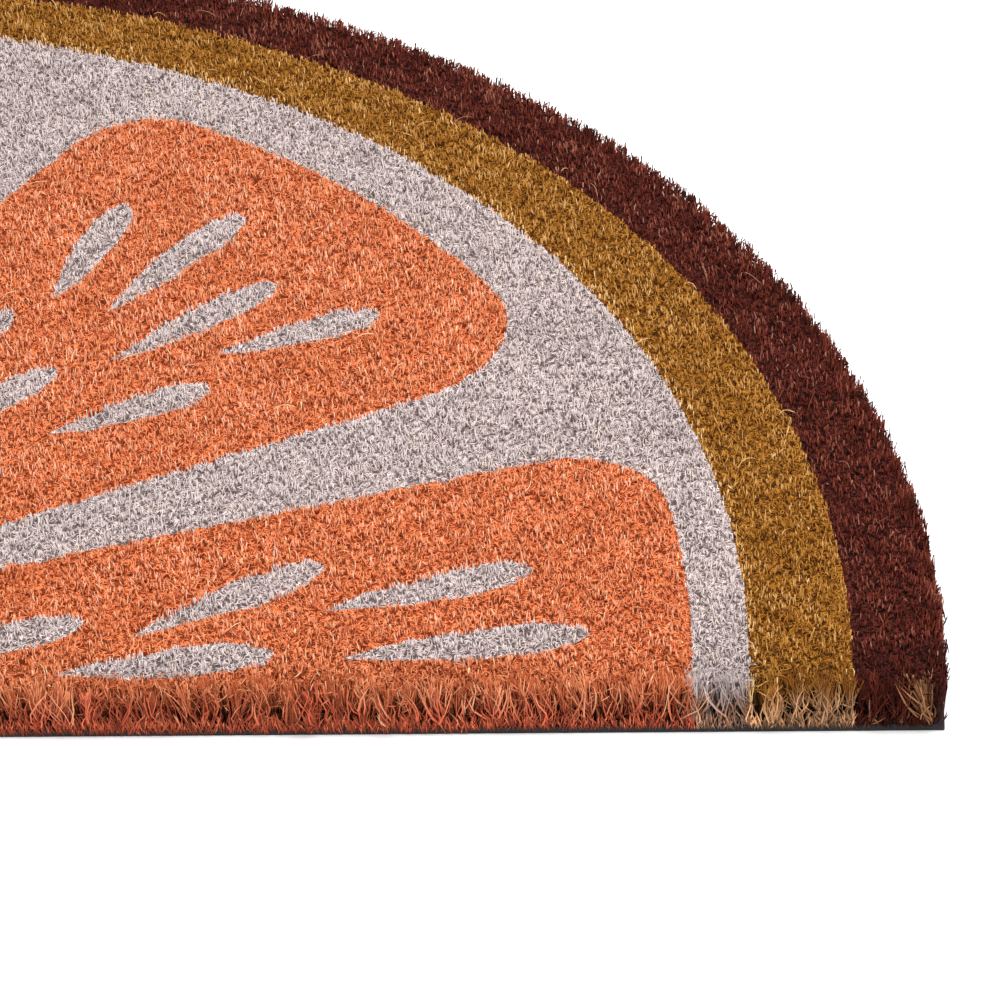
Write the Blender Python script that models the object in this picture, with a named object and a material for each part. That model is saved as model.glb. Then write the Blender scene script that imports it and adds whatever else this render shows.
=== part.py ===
"""Half-round coir doormat: a PVC backing sheet and the coir pile that stands in it.

Metres, +Z up. The origin is in the middle of the underside, the straight edge faces -Y and the
round edge faces +Y. The pile is one lumpy slab whose rim leans out over the backing in locks, and
its printed colours are face materials: rind, ring, pith and fruit segments of a citrus slice.
"""

import math
import random

import bmesh
import bpy
from mathutils import Vector
from mathutils.geometry import delaunay_2d_cdt

# Driving dimensions
RADIUS = 0.375  # of the round edge, so the straight edge is 0.75 m long
THICKNESS = 0.0143  # from the floor to the usual height of the pile
BACKING_THICKNESS = 0.002
FACE_GAP = 0.0003  # between the backing and the pile
SPLAY = 0.0022  # how far the pile's brow leans out past its foot
LOCK_PITCH = 0.0048  # along the rim, one lock of fibres
TUFT_PITCH = 0.0145  # across the top, one lump
LOCK_UNEVENNESS = 0.0009  # in and out, of one lock of the rim
LUMP_UNEVENNESS = 0.0006  # up and down, of one lump of the top
TUFT_SHAKE = 0.22  # of a tuft pitch, how far a lump strays from its place in the net
RIM_CLEARANCE = 0.6  # of a tuft pitch, kept between the lumps and the rim
SMOOTH_BELOW = 50.0  # degrees between two faces that are shaded as one
BACKING_SEGMENTS = 256  # of the full circle that the backing is half of
SEED = 11

# Printed design, as shares of the radius and in degrees
RING_OUTER = 0.943  # the rind lies outside this, the ring inside it
PITH_OUTER = 0.878
SEGMENT_OUTER = 0.825
SEGMENT_INNER = 0.10
SEGMENT_PITCH = 45.0  # eight segments make the whole slice
SEGMENT_GAP = 4.0  # half of the pith's angle between two segments

FRONT_Y = -RADIUS / 2  # the straight edge, so that the origin is in the middle
PILE_FOOT = BACKING_THICKNESS + FACE_GAP

# The rim's section, foot to crown: height as a share of the pile, and lean as a share of the splay
RIM_SECTION = (
    {"height": 0.00, "lean": 0.00, "uneven": 0.0},
    {"height": 0.45, "lean": 0.45, "uneven": 0.5},
    {"height": 0.84, "lean": 1.00, "uneven": 1.0},
    {"height": 1.00, "lean": 0.25, "uneven": 0.4},
)

# Sub-part finishes: colour as linear red, green, blue
FINISHES = {
    "backing": {"colour": (0.022, 0.022, 0.024), "roughness": 0.6},
    "rind": {"colour": (0.076, 0.021, 0.014), "roughness": 0.95},
    "ring": {"colour": (0.290, 0.115, 0.024), "roughness": 0.95},
    "pith": {"colour": (0.500, 0.420, 0.415), "roughness": 0.95},
    "fruit": {"colour": (0.640, 0.180, 0.080), "roughness": 0.95},
}


def material(name):
    """A Principled material in one of the named finishes."""
    made = bpy.data.materials.new(name)
    made.use_nodes = True
    shader = made.node_tree.nodes["Principled BSDF"]
    shader.inputs["Base Color"].default_value = (*FINISHES[name]["colour"], 1.0)
    shader.inputs["Roughness"].default_value = FINISHES[name]["roughness"]
    shader.inputs["Metallic"].default_value = 0.0
    return made


def clear_scene():
    """Removes whatever the file opened with."""
    for found in list(bpy.data.objects):
        bpy.data.objects.remove(found, do_unlink=True)


def add_object(name, mesh, collection, materials):
    """Puts a finished mesh into the scene under its sub-part's name."""
    for each in materials:
        mesh.materials.append(each)
    made = bpy.data.objects.new(name, mesh)
    collection.objects.link(made)
    return made


def rim_stations():
    """(point, outward direction) at each lock, once round the half disc from the right corner."""
    arc_count = round(math.pi * RADIUS / LOCK_PITCH)
    front_count = round(2 * RADIUS / LOCK_PITCH)
    stations = []
    for step in range(arc_count + 1):
        angle = math.pi * step / arc_count
        outward = Vector((math.cos(angle), math.sin(angle)))
        point = Vector((0.0, FRONT_Y)) + RADIUS * outward
        if step in (0, arc_count):
            outward = (outward + Vector((0.0, -1.0))).normalized()
        stations.append((point, outward))
    for step in range(1, front_count):
        x = -RADIUS + 2 * RADIUS * step / front_count
        stations.append((Vector((x, FRONT_Y)), Vector((0.0, -1.0))))
    return stations


def rim_rings(chance):
    """The rings of the pile's side as lists of 3-D points, foot first."""
    stations = rim_stations()
    reach = [chance.uniform(-1.0, 1.0) * LOCK_UNEVENNESS for _ in stations]
    pile_height = THICKNESS - PILE_FOOT
    rings = []
    for row in RIM_SECTION:
        ring = []
        for (point, outward), lock in zip(stations, reach):
            place = point + outward * (row["lean"] * SPLAY + row["uneven"] * lock)
            ring.append(Vector((place.x, place.y, PILE_FOOT + row["height"] * pile_height)))
        rings.append(ring)
    return rings


def tuft_points(chance):
    """Places of the lumps on the top, on a shaken triangular net that keeps clear of the rim."""
    clear = RIM_CLEARANCE * TUFT_PITCH
    row_pitch = TUFT_PITCH * math.sqrt(3) / 2
    shake = TUFT_PITCH * TUFT_SHAKE
    points = []
    for row in range(int(RADIUS / row_pitch) + 1):
        shift = TUFT_PITCH / 2 * (row % 2)
        for column in range(-int(RADIUS / TUFT_PITCH) - 1, int(RADIUS / TUFT_PITCH) + 2):
            x = column * TUFT_PITCH + shift + chance.uniform(-shake, shake)
            y = (row + RIM_CLEARANCE) * row_pitch + chance.uniform(-shake, shake)
            if y > clear and math.hypot(x, y) < RADIUS - clear:
                points.append(Vector((x, y + FRONT_Y)))
    return points


def zone(x, y):
    """The printed zone at a place on the pile."""
    radius = math.hypot(x, y - FRONT_Y) / RADIUS
    turn = math.degrees(math.atan2(y - FRONT_Y, x)) % SEGMENT_PITCH
    from_gap = abs(turn - SEGMENT_PITCH / 2)
    if radius > RING_OUTER:
        return "rind"
    if radius > PITH_OUTER:
        return "ring"
    if SEGMENT_INNER < radius < SEGMENT_OUTER and from_gap > SEGMENT_GAP:
        return "fruit"
    return "pith"


def add_band(shape, lower, upper):
    """Faces between two rings of vertices that match one to one."""
    for at in range(len(lower)):
        nxt = (at + 1) % len(lower)
        shape.faces.new((lower[at], lower[nxt], upper[nxt], upper[at]))


def add_cap(shape, ring, inner, upward):
    """Fills a ring of vertices, through the inner points if there are any."""
    flat = [vert.co.xy for vert in ring] + [vert.co.xy for vert in inner]
    border = [(at, (at + 1) % len(ring)) for at in range(len(ring))]
    faces = delaunay_2d_cdt(flat, border, [], 1, 1e-7)[2]
    verts = ring + inner
    for face in faces:
        corners = [verts[at] for at in face]
        shape.faces.new(corners if upward else corners[::-1])


def make_backing(collection):
    """The PVC sheet: half of a flat disc."""
    shape = bmesh.new()
    bmesh.ops.create_cone(
        shape,
        cap_ends=True,
        segments=BACKING_SEGMENTS,
        radius1=RADIUS,
        radius2=RADIUS,
        depth=BACKING_THICKNESS,
    )
    cut = bmesh.ops.bisect_plane(
        shape,
        geom=shape.verts[:] + shape.edges[:] + shape.faces[:],
        dist=1e-7,
        plane_co=(0, 0, 0),
        plane_no=(0, 1, 0),
        clear_inner=True,
    )
    edges = [part for part in cut["geom_cut"] if isinstance(part, bmesh.types.BMEdge)]
    bmesh.ops.holes_fill(shape, edges=edges)
    bmesh.ops.translate(shape, verts=shape.verts, vec=(0, FRONT_Y, BACKING_THICKNESS / 2))
    bmesh.ops.recalc_face_normals(shape, faces=shape.faces)
    mesh = bpy.data.meshes.new("backing")
    shape.to_mesh(mesh)
    shape.free()
    return add_object("backing", mesh, collection, [material("backing")])


def make_pile(collection):
    """The coir pile: a lumpy slab, its rim in locks that lean out over the backing."""
    chance = random.Random(SEED)
    shape = bmesh.new()
    rings = [[shape.verts.new(point) for point in ring] for ring in rim_rings(chance)]
    for lower, upper in zip(rings, rings[1:]):
        add_band(shape, lower, upper)
    lumps = [
        shape.verts.new((place.x, place.y, THICKNESS + chance.uniform(-1.0, 1.0) * LUMP_UNEVENNESS))
        for place in tuft_points(chance)
    ]
    add_cap(shape, rings[0], [], upward=False)
    add_cap(shape, rings[-1], lumps, upward=True)
    zones = ["rind", "ring", "pith", "fruit"]
    for face in shape.faces:
        middle = face.calc_center_median()
        face.material_index = zones.index(zone(middle.x, middle.y))
    bmesh.ops.recalc_face_normals(shape, faces=shape.faces)
    mesh = bpy.data.meshes.new("pile")
    shape.to_mesh(mesh)
    shape.free()
    made = add_object("pile", mesh, collection, [material(name) for name in zones])
    mesh.shade_smooth()
    mesh.set_sharp_from_angle(angle=math.radians(SMOOTH_BELOW))
    return made


def main():
    """Builds the doormat in a collection of its own."""
    clear_scene()
    collection = bpy.data.collections.new("coir_doormat")
    bpy.context.scene.collection.children.link(collection)
    make_backing(collection)
    make_pile(collection)


main()
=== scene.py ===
"""Looks of the half-round coir doormat: printed coir pile in fibres, on a PVC backing sheet.

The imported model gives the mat's outline, thickness and place. Each printed zone of the citrus slice
becomes one mesh of cut fibres, and the straight and the round edge get longer bent fibres. Lengths are
in metres, and a fibre's shade runs from 0, deep, to 1, light.
"""

from __future__ import annotations

import logging
import math
from dataclasses import dataclass, field
from enum import Enum
from functools import partial
from typing import Callable

import bpy
import numpy as np
from mathutils import Matrix, Vector
from mathutils.geometry import delaunay_2d_cdt
from mathutils.kdtree import KDTree


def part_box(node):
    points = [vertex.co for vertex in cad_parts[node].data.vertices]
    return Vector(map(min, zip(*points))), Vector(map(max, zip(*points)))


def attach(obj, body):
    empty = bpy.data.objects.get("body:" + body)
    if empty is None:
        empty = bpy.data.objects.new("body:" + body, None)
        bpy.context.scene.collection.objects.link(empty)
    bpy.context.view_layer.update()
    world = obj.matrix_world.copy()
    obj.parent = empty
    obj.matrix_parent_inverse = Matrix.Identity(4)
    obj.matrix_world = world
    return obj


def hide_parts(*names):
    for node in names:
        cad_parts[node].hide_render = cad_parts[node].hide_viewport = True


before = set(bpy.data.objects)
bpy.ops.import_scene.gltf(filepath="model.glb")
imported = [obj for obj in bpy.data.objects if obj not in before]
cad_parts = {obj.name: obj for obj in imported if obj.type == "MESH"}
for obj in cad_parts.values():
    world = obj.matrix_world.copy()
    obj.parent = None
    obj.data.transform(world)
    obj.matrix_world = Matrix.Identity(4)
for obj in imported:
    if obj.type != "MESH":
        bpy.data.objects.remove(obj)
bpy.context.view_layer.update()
log = logging.getLogger("doormat")

MM = 0.001
TURN = 2 * math.pi
BAKE_MAP = "OFBake"
BED_DYE = "bed_dye"
# The shade of a dyed fibre stops here. Past UNDYED_FROM are the odd fibres that took little dye.
LIGHTEST_DYED = 0.84
UNDYED_FROM = 0.9
UNDYED = 0.95
# Settings of a Mix node for colours. Its two colours are its inputs 6 and 7.
MIXED = {"data_type": "RGBA"}
MULTIPLIED = {"data_type": "RGBA", "blend_type": "MULTIPLY"}

Range = tuple[float, float]


class Zone(Enum):
    """A printed zone of the slice, with its number in the arrays."""

    RIND = 0
    RING = 1
    PITH = 2
    DROP = 3
    FRUIT = 4


@dataclass(frozen=True)
class Outline:
    """The mat's half-disc outline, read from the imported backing, and the heights of its layers."""

    radius: float
    front: float
    foot: float
    crown: float

    @classmethod
    def from_frame(cls, tips_above: float = 1.1 * MM) -> "Outline":
        """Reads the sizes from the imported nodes.

        Args:
            tips_above: How far the fibres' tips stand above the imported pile.

        Returns:
            The outline of the half disc, its middle on the straight edge at x = 0, y = front.
        """
        low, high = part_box("backing")
        pile_low, pile_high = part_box("pile")
        return cls(
            radius=(high[0] - low[0]) / 2,
            front=low[1],
            foot=pile_low[2],
            crown=pile_high[2] + tips_above,
        )

    @property
    def middle(self) -> np.ndarray:
        """The middle of the straight edge, in the floor's plane."""
        return np.array([0.0, self.front])

    def reach(self, points: np.ndarray) -> np.ndarray:
        """Distance from the middle of the straight edge to points, one a row."""
        return np.hypot(points[:, 0], points[:, 1] - self.front)

    def inset(self, points: np.ndarray) -> np.ndarray:
        """Distance from points to the nearest edge, positive inside."""
        return np.minimum(self.radius - self.reach(points), points[:, 1] - self.front)

    def outward(self, points: np.ndarray) -> np.ndarray:
        """Direction towards the nearest edge.

        Args:
            points: Points on the mat, one a row.

        Returns:
            Unit vectors in the floor's plane.
        """
        reach = np.maximum(self.reach(points), 1e-6)
        from_front = points[:, 1] - self.front
        radial = np.stack([points[:, 0] / reach, from_front / reach], axis=1)
        nearer_front = from_front < (self.radius - reach)
        return np.where(nearer_front[:, None], [[0.0, -1.0]], radial)


def headings(angles: np.ndarray) -> np.ndarray:
    """Unit vectors in the floor's plane at these angles, one a row."""
    return np.column_stack([np.cos(angles), np.sin(angles)])


def end_at(reach: float, turn: float) -> np.ndarray:
    """The point at a distance and a turn in degrees from the first axis."""
    return reach * np.array([math.cos(math.radians(turn)), math.sin(math.radians(turn))])


@dataclass(frozen=True)
class Drop:
    """One pale juice drop of a segment: its pointed tip and its round head, in shares and degrees."""

    tip_reach: float
    tip_turn: float
    head_reach: float
    head_turn: float

    def ends(self) -> tuple[np.ndarray, np.ndarray]:
        """Its tip and its head, in the segment's own axes."""
        return end_at(self.tip_reach, self.tip_turn), end_at(self.head_reach, self.head_turn)


@dataclass(frozen=True)
class Segment:
    """One fruit segment: where its middle points, how far it reaches and the drops on it."""

    turn: float
    reach: float
    corner: float
    far_corner: float
    drops: tuple[Drop, ...]
    mirrored: bool = False


FULL_DROPS = (
    Drop(tip_reach=0.578, tip_turn=6.8, head_reach=0.702, head_turn=11.1),
    Drop(tip_reach=0.594, tip_turn=2.7, head_reach=0.745, head_turn=4.5),
    Drop(tip_reach=0.555, tip_turn=-2.9, head_reach=0.702, head_turn=-2.9),
    Drop(tip_reach=0.619, tip_turn=-7.2, head_reach=0.739, head_turn=-9.5),
    Drop(tip_reach=0.476, tip_turn=-8.4, head_reach=0.596, head_turn=-10.4),
    Drop(tip_reach=0.386, tip_turn=-1.5, head_reach=0.523, head_turn=-0.8),
    Drop(tip_reach=0.434, tip_turn=6.4, head_reach=0.552, head_turn=8.6),
    Drop(tip_reach=0.326, tip_turn=-8.3, head_reach=0.432, head_turn=-10.7),
    Drop(tip_reach=0.286, tip_turn=4.4, head_reach=0.382, head_turn=6.5),
)
HALF_DROPS = (
    Drop(tip_reach=0.480, tip_turn=6.7, head_reach=0.609, head_turn=12.4),
    Drop(tip_reach=0.606, tip_turn=7.7, head_reach=0.745, head_turn=9.6),
    Drop(tip_reach=0.431, tip_turn=2.2, head_reach=0.574, head_turn=3.7),
    Drop(tip_reach=0.618, tip_turn=2.8, head_reach=0.778, head_turn=4.1),
    Drop(tip_reach=0.329, tip_turn=5.6, head_reach=0.449, head_turn=9.2),
    Drop(tip_reach=0.205, tip_turn=2.4, head_reach=0.302, head_turn=2.9),
)


@dataclass(frozen=True)
class SlicePrint:
    """The citrus slice printed on the pile. Lengths are shares of the mat's radius."""

    outline: Outline
    rind_inner: float = 0.9433
    ring_inner: float = 0.8781
    arc_inner: float = 0.80
    pith_core: float = 0.105
    side_turn: float = 17.7
    side_shift: float = -0.0095
    segment_middle: float = 0.55
    segment_girth: float = 2.6
    drop_width: float = 0.0155
    drop_belly: float = 0.70
    drop_points: int = 12
    drop_crowding: float = 0.8
    edge_wander: float = 0.3 * MM
    segments: tuple[Segment, ...] = (
        Segment(turn=0.0, reach=0.842, corner=0.075, far_corner=0.075, drops=HALF_DROPS),
        Segment(turn=45.0, reach=0.820, corner=0.105, far_corner=0.068, drops=FULL_DROPS),
        Segment(turn=90.0, reach=0.826, corner=0.070, far_corner=0.085, drops=FULL_DROPS),
        Segment(turn=135.0, reach=0.820, corner=0.105, far_corner=0.068, drops=FULL_DROPS, mirrored=True),
        Segment(turn=180.0, reach=0.842, corner=0.075, far_corner=0.075, drops=HALF_DROPS, mirrored=True),
    )

    def local(self, segment: Segment, points: np.ndarray) -> tuple[np.ndarray, np.ndarray]:
        """Turns points into a segment's own axes.

        Args:
            segment: The segment.
            points: Points from the middle of the straight edge, one a row.

        Returns:
            Places along the segment's middle line and across it.
        """
        angle = math.radians(segment.turn)
        along = points[:, 0] * math.cos(angle) + points[:, 1] * math.sin(angle)
        across = points[:, 1] * math.cos(angle) - points[:, 0] * math.sin(angle)
        return along, -across if segment.mirrored else across

    def segment_gap(self, segment: Segment, along: np.ndarray, across: np.ndarray) -> np.ndarray:
        """Distance outside a segment's rounded outline, negative inside.

        Args:
            segment: The segment.
            along: Places along its middle line.
            across: Places across it.

        Returns:
            Signed distances.
        """
        side = math.radians(self.side_turn)
        past_arc = np.hypot(along, across) - segment.reach
        past_side = np.abs(across) * math.cos(side) - along * math.sin(side) + self.side_shift
        corner = np.where(across < 0, segment.corner, segment.far_corner)
        a, b = past_arc + corner, past_side + corner
        rounded = np.hypot(np.maximum(a, 0), np.maximum(b, 0)) + np.minimum(np.maximum(a, b), 0)
        return np.maximum(rounded - corner, self.pith_core - np.hypot(along, across))

    def in_drop(self, drop: Drop, along: np.ndarray, across: np.ndarray) -> np.ndarray:
        """Whether points lie on a drop: pointed at its tip, widest past its middle, round at its head.

        Args:
            drop: The drop.
            along: Places along the segment's middle line.
            across: Places across it.

        Returns:
            True where a point is on the drop.
        """
        tip, head = drop.ends()
        length = float(np.hypot(*(head - tip)))
        axis = (head - tip) / length
        t = ((along - tip[0]) * axis[0] + (across - tip[1]) * axis[1]) / length
        off = np.abs((across - tip[1]) * axis[0] - (along - tip[0]) * axis[1])
        return (t > 0) & (t < 1) & (off < self.drop_half_width(t))

    def drop_half_width(self, t: np.ndarray) -> np.ndarray:
        """Half the width of a drop along its length: a pointed tail, then a round nose.

        Args:
            t: Shares of the way from the tip to the head.

        Returns:
            Half widths.
        """
        tail = 1 - (1 - np.clip(t / self.drop_belly, 0, 1)) ** 2
        nose = 1 - (np.clip(t - self.drop_belly, 0, None) / (1 - self.drop_belly)) ** 2
        return self.drop_width * np.minimum(tail, np.sqrt(np.clip(nose, 0, 1)))

    def segment_border(self, segment: Segment, step: float) -> np.ndarray:
        """A segment's outline, found by halving along rays from a point inside it.

        Args:
            segment: The segment.
            step: The rough distance between points.

        Returns:
            Points in metres, the first repeated at the end.
        """
        halvings = 24
        angle = math.radians(segment.turn)
        middle = self.segment_middle * np.array([math.cos(angle), math.sin(angle)])
        rays = headings(np.linspace(0, TURN, round(self.segment_girth / step)))
        low, high = np.zeros(len(rays)), np.ones(len(rays))
        for _ in range(halvings):
            reach = (low + high) / 2
            points = middle + rays * reach[:, None]
            inside = self.segment_gap(segment, *self.local(segment, points)) < 0
            low, high = np.where(inside, reach, low), np.where(inside, high, reach)
        return (middle + rays * low[:, None]) * self.outline.radius + self.outline.middle

    def drop_border(self, segment: Segment, drop: Drop) -> np.ndarray:
        """A drop's outline.

        Args:
            segment: The segment that the drop is on.
            drop: The drop.

        Returns:
            Points in metres, the first repeated at the end.
        """
        tip, head = drop.ends()
        axis = (head - tip) / np.hypot(*(head - tip))
        t = np.sin(np.linspace(0, math.pi / 2, self.drop_points)) ** self.drop_crowding
        half = self.drop_half_width(t)
        spine = tip + (head - tip) * t[:, None]
        beside = np.array([-axis[1], axis[0]]) * half[:, None]
        ring = np.concatenate([spine + beside, (spine - beside)[-2::-1]])
        angle = math.radians(segment.turn)
        across = -ring[:, 1] if segment.mirrored else ring[:, 1]
        u = ring[:, 0] * math.cos(angle) - across * math.sin(angle)
        v = ring[:, 0] * math.sin(angle) + across * math.cos(angle)
        return np.column_stack([u, v]) * self.outline.radius + self.outline.middle

    def zones(self, points: np.ndarray) -> tuple[np.ndarray, np.ndarray]:
        """The printed zone at each point.

        Args:
            points: Points in metres, one a row.

        Returns:
            The zone numbers, and the number of the segment each point is in, or -1.
        """
        shares = (points[:, :2] - self.outline.middle) / self.outline.radius
        reach = np.hypot(shares[:, 0], shares[:, 1])
        zone = np.full(len(shares), Zone.PITH.value)
        owner = np.full(len(shares), -1)
        for number, segment in enumerate(self.segments):
            along, across = self.local(segment, shares)
            inside = self.segment_gap(segment, along, across) < 0
            on_drop = np.any([self.in_drop(drop, along, across) for drop in segment.drops], axis=0)
            zone[inside] = Zone.FRUIT.value
            zone[inside & on_drop] = Zone.DROP.value
            owner[inside] = number
        zone[reach > self.ring_inner] = Zone.RING.value
        zone[reach > self.rind_inner] = Zone.RIND.value
        owner[reach > self.ring_inner] = -1
        return zone, owner


class Waves:
    """Smooth seeded unevenness over the mat, as a sum of a few slanted waves."""

    count = 14
    lengths: Range = (0.6, 1.7)

    def __init__(self, chance: np.random.Generator, length: float) -> None:
        """Draws the waves.

        Args:
            chance: The seeded random numbers.
            length: The usual wavelength.
        """
        angle = chance.uniform(0, TURN, self.count)
        pace = TURN / (length * chance.uniform(*self.lengths, self.count))
        self.steps = np.stack([np.cos(angle) * pace, np.sin(angle) * pace])
        self.starts = chance.uniform(0, TURN, self.count)

    def at(self, points: np.ndarray) -> np.ndarray:
        """The unevenness at points, with a spread of about one."""
        phase = np.outer(points[:, 0], self.steps[0]) + np.outer(points[:, 1], self.steps[1])
        return np.cos(phase + self.starts).sum(axis=1) * math.sqrt(2 / self.count)


@dataclass
class Strands:
    """Fibres as paths of a few points each, with their width, their shade and how far up the dye starts."""

    paths: np.ndarray
    width: np.ndarray
    shade: np.ndarray
    dye_shift: np.ndarray

    def pick(self, mask: np.ndarray) -> "Strands":
        """The fibres that the mask names."""
        return Strands(self.paths[mask], self.width[mask], self.shade[mask], self.dye_shift[mask])

    def at(self, share: float) -> np.ndarray:
        """The point of each fibre at a share of the way from its second last point to its tip."""
        return self.paths[:, -2] * (1 - share) + self.paths[:, -1] * share


def dyed(shade: np.ndarray) -> np.ndarray:
    """Keeps shades within those of a dyed fibre."""
    return np.clip(shade, 0, LIGHTEST_DYED)


@dataclass(frozen=True)
class Look:
    """How the fibres of one kind vary in width, shade and dye."""

    width: float
    widths: Range
    shade_scatter: float
    dye_scatter: float
    undyed_share: float = 0.0

    def strands(
        self,
        points: list[np.ndarray],
        shade: np.ndarray | float,
        dye: np.ndarray | float,
        chance: np.random.Generator,
    ) -> Strands:
        """Makes fibres from their points, each with a width, shade and dye of its own.

        Args:
            points: The fibres' points from root to tip, an array for each.
            shade: The usual shade, one for all or one each.
            dye: The usual shift of the dye, in the same way.
            chance: The seeded random numbers.

        Returns:
            The fibres.
        """
        count = len(points[0])
        own_shade = dyed(shade + chance.normal(0, self.shade_scatter, count))
        if self.undyed_share:
            own_shade[chance.random(count) < self.undyed_share] = UNDYED
        width = self.width * chance.uniform(*self.widths, count)
        shift = dye + chance.normal(0, self.dye_scatter, count)
        return Strands(np.stack(points, axis=1), width, own_shade, shift)


def across_of(axis: np.ndarray, spin: np.ndarray) -> tuple[np.ndarray, np.ndarray]:
    """Two directions square to each axis, turned about it.

    Args:
        axis: Unit vectors, one row a fibre.
        spin: Angles about them.

    Returns:
        The first direction, and the axis crossed with it.
    """
    # A slanted direction that next to no fibre points along.
    slanted = [[0.9129, 0.3651, 0.1826]]
    side = np.cross(axis, slanted)
    side /= np.linalg.norm(side, axis=1)[:, None]
    other = np.cross(axis, side)
    first = side * np.cos(spin)[:, None] + other * np.sin(spin)[:, None]
    return first, np.cross(axis, first)


def shaken_net(outline: Outline, pitch: float, shake: float, chance: np.random.Generator) -> np.ndarray:
    """A triangular net of points over the half disc, each shaken a little.

    Args:
        outline: The mat's outline.
        pitch: The distance between points.
        shake: How far a point may move, as a share of the pitch.
        chance: The seeded random numbers.

    Returns:
        Points in the floor's plane.
    """
    row_pitch = pitch * math.sqrt(3) / 2
    half = int(outline.radius / pitch) + 1
    rows = np.arange(int(outline.radius / row_pitch) + 1)
    row, column = (each.ravel() for each in np.meshgrid(rows, np.arange(-half, half + 1), indexing="ij"))
    moved = chance.uniform(-shake, shake, (2, row.size)) * pitch
    x = (column + 0.5 * (row % 2)) * pitch + moved[0]
    y = outline.front + (row + 0.5) * row_pitch + moved[1]
    net = np.column_stack([x, y])
    return net[outline.inset(net) > 0]


class FibreMesh:
    """Collects the points, triangles and bake places of many fibres for one joined mesh.

    In the bake map a fibre is a narrow strip at its own shade, kept clear of the map's rim.
    """

    half_cell = 0.006
    margin = 0.02
    bent_at: Range = (0.45, 0.75)
    bows_mm: Range = (0.20, 0.42)
    root_thickness = 1.1
    thinning = 0.3

    def __init__(self, outline: Outline, chance: np.random.Generator) -> None:
        """Starts empty, with the heights of the pile and the random numbers that turn the fibres."""
        self.outline = outline
        self.chance = chance
        self.points: list[np.ndarray] = []
        self.triangles: list[np.ndarray] = []
        self.places: list[np.ndarray] = []
        self.count = 0

    def take(
        self,
        points: list[np.ndarray],
        faces: list[list[int]],
        side: list[float],
        strands: Strands,
    ) -> None:
        """Adds fibres that share one face list.

        Args:
            points: The fibres' corners, an array for each corner.
            faces: Triangles of one fibre, as corner numbers.
            side: How far each corner lies beside its fibre's shade in the bake map, from -1 to 1.
            strands: The fibres, for their shades and dye.
        """
        corners = np.stack(points, axis=1)
        fibres, each = corners.shape[:2]
        starts = self.count + np.arange(fibres) * each
        low = self.margin + self.half_cell
        across = low + np.clip(strands.shade, 0, 1) * (1 - 2 * low)
        up = (corners[:, :, 2] - self.outline.foot) / (self.outline.crown - self.outline.foot)
        up = np.clip(up + strands.dye_shift[:, None], self.margin, 1 - self.margin)
        places = np.stack([across[:, None] + np.array(side)[None] * self.half_cell, up], axis=2)
        self.points.append(corners.reshape(-1, 3))
        self.triangles.append((np.array(faces)[None] + starts[:, None, None]).reshape(-1, 3))
        self.places.append(places.reshape(-1, 2))
        self.count += fibres * each

    def spun(self, strands: Strands) -> tuple[np.ndarray, ...]:
        """The root, tip, two directions square to the fibre and half width of fibres of two points each."""
        root, tip = strands.paths[:, 0], strands.paths[:, 1]
        axis = tip - root
        axis /= np.linalg.norm(axis, axis=1)[:, None]
        first, second = across_of(axis, self.chance.uniform(0, TURN, len(root)))
        return root, tip, first, second, strands.width[:, None] / 2

    def blades(self, strands: Strands) -> None:
        """Adds straight fibres of four triangles, blunt at the cut end and narrow the other way below.

        Args:
            strands: Fibres of two points each.
        """
        root, tip, cut, stem, half = self.spun(strands)
        corners = [root - stem * half, root + stem * half, tip - cut * half, tip + cut * half]
        faces = [[0, 2, 1], [0, 1, 3], [0, 3, 2], [1, 2, 3]]
        self.take(corners, faces, [-1.0, 1.0, -1.0, 1.0], strands)

    def slivers(self, strands: Strands) -> None:
        """Adds bent fibres of four triangles, fine at both ends and widest where they bend.

        Args:
            strands: Fibres of two points each.
        """
        root, tip, bow, wide, half = self.spun(strands)
        middle = root + (tip - root) * self.chance.uniform(*self.bent_at, (len(root), 1))
        middle = middle + bow * self.chance.uniform(*self.bows_mm, (len(root), 1)) * MM
        faces = [[0, 3, 2], [1, 2, 3], [0, 1, 3], [0, 2, 1]]
        corners = [root, tip, middle - wide * half, middle + wide * half]
        self.take(corners, faces, [0.0, 0.0, -1.0, 1.0], strands)

    def tubes(self, strands: Strands, cut_end: bool = False) -> None:
        """Adds bent fibres with three sides, fine at the root and at the tip.

        Args:
            strands: Fibres of any number of points.
            cut_end: Whether the tip is cut flat instead.
        """
        paths = strands.paths
        rings = paths.shape[1] - (1 if cut_end else 2)
        axis = np.gradient(paths, axis=1)
        axis /= np.linalg.norm(axis, axis=2)[:, :, None]
        spin = self.chance.uniform(0, TURN, len(paths))
        corners = []
        for ring in range(1, rings + 1):
            first, second = across_of(axis[:, ring], spin)
            half = strands.width[:, None] / 2 * (self.root_thickness - self.thinning * ring / rings)
            for side in range(3):
                angle = TURN * side / 3
                corners.append(paths[:, ring] + (first * math.cos(angle) + second * math.sin(angle)) * half)
        ends = [paths[:, 0]] if cut_end else [paths[:, 0], paths[:, -1]]
        low_end, high_end, last = 3 * rings, 3 * rings + 1, 3 * (rings - 1)
        faces = []
        for side in range(3):
            after = (side + 1) % 3
            faces.append([after, side, low_end])
            for ring in range(rings - 1):
                a, b = 3 * ring + side, 3 * ring + after
                faces += [[a, b, b + 3], [a, b + 3, a + 3]]
            if not cut_end:
                faces.append([last + side, last + after, high_end])
        if cut_end:
            faces.append([last, last + 1, last + 2])
        self.take(corners + ends, faces, [-1.0, 0.0, 1.0] * rings + [0.0] * len(ends), strands)

    def cut_tubes(self, strands: Strands) -> None:
        """Adds bent fibres with three sides, fine at the root and cut flat at the tip."""
        self.tubes(strands, cut_end=True)

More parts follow.
